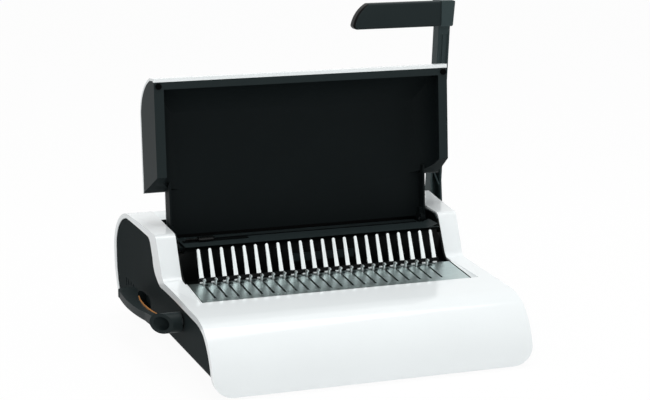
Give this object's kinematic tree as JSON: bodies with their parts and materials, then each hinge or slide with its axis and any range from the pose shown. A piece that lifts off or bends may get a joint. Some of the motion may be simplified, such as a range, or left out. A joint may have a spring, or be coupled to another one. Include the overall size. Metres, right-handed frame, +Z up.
{
  "type": "comb binding machine",
  "caption": "Desktop comb binding machine with an open document lid, a punch handle at the right, a comb-opening lever at the left and a slotted tray with a row of comb fingers.",
  "frame": {"origin": "middle of the machine's footprint, on the surface it stands on", "axes": "+X to the right along the comb row, +Y to the rear, +Z up"},
  "size_m": [0.4607, 0.3891, 0.393],
  "materials": {
    "white_cover": "gloss",
    "dark_plastic": "satin",
    "black_plastic": "satin",
    "tray_metal": "brushed",
    "bright_steel": "satin",
    "shaft_steel": "ground",
    "bronze": "satin",
    "black_rubber": "matt",
    "amber_plastic": "satin"
  },
  "bodies": {
    "base": {"base_pan": "dark_plastic", "main_cover": "white_cover", "left_side_panel": "dark_plastic", "right_side_panel": "dark_plastic", "rear_cover": "white_cover", "rear_ledge": "black_plastic", "comb_wall": "black_plastic", "tray_plate": "tray_metal", "tines": "bright_steel", "tine_rail": "black_plastic", "die_plate": "shaft_steel", "stripper_plate": "shaft_steel", "paper_stop": "shaft_steel", "end_frames": "shaft_steel", "shaft_bushes": "bronze", "opener_brackets": "shaft_steel", "hook_guides": "black_plastic", "lid_hinge_pins": "shaft_steel", "drawer_runners": "dark_plastic", "guide_track": "black_plastic", "rubber_feet": "black_rubber", "base_screws": "shaft_steel"},
    "punch_lever": {"lever_arm": "dark_plastic", "lever_grip": "dark_plastic", "grip_end_block": "dark_plastic", "drive_shaft": "shaft_steel", "drive_pinions": "shaft_steel", "hub_cap": "dark_plastic"},
    "punch_carriage": {"punch_bar": "shaft_steel", "punch_pins": "shaft_steel", "drive_racks": "shaft_steel"},
    "comb_lever": {"comb_lever_arm": "dark_plastic", "finger_hole_liner": "amber_plastic", "opener_shaft": "shaft_steel", "opener_pinions": "shaft_steel"},
    "hook_slide": {"hook_plate": "bright_steel", "comb_hooks": "bright_steel", "opener_racks": "shaft_steel"},
    "lid": {"lid_shell": "white_cover", "document_support": "dark_plastic", "lid_bumpers": "black_rubber"},
    "edge_guide_slide": {"edge_guide": "black_plastic", "guide_knob": "black_plastic"},
    "chip_tray": {"chip_drawer": "dark_plastic", "drawer_pull": "dark_plastic"}
  },
  "joints": [
    {"name": "punch_handle", "type": "hinge", "parent": "base", "child": "punch_lever", "pos_m": [0, 0.172, 0.078], "axis": [1, 0, 0], "range_deg": [0, 70], "stiffness_Nm_per_rad": 1.2, "springref_deg": -45.84},
    {"name": "punch_slide", "type": "slide", "parent": "base", "child": "punch_carriage", "axis": [0, -1, 0], "range_m": [0, 0.0136]},
    {"name": "comb_lever_turn", "type": "hinge", "parent": "base", "child": "comb_lever", "pos_m": [0, -0.066, 0.057], "axis": [1, 0, 0], "range_deg": [0, 120]},
    {"name": "hook_travel", "type": "slide", "parent": "base", "child": "hook_slide", "axis": [0, -0.9967, -0.0816], "range_m": [0, 0.0275]},
    {"name": "lid_hinge", "type": "hinge", "parent": "base", "child": "lid", "pos_m": [0, 0.078, 0.121], "axis": [1, 0, 0], "range_deg": [0, 94]},
    {"name": "edge_guide_travel", "type": "slide", "parent": "base", "child": "edge_guide_slide", "axis": [1, 0, 0], "range_m": [-0.003, 0.025]},
    {"name": "chip_drawer_slide", "type": "slide", "parent": "base", "child": "chip_tray", "axis": [0, 1, 0], "range_m": [0, 0.1]}
  ],
  "couplings": [
    {"joint": "punch_slide", "follows": "punch_handle", "m_per_rad": 0.011},
    {"joint": "hook_travel", "follows": "comb_lever_turn", "m_per_rad": 0.013}
  ]
}
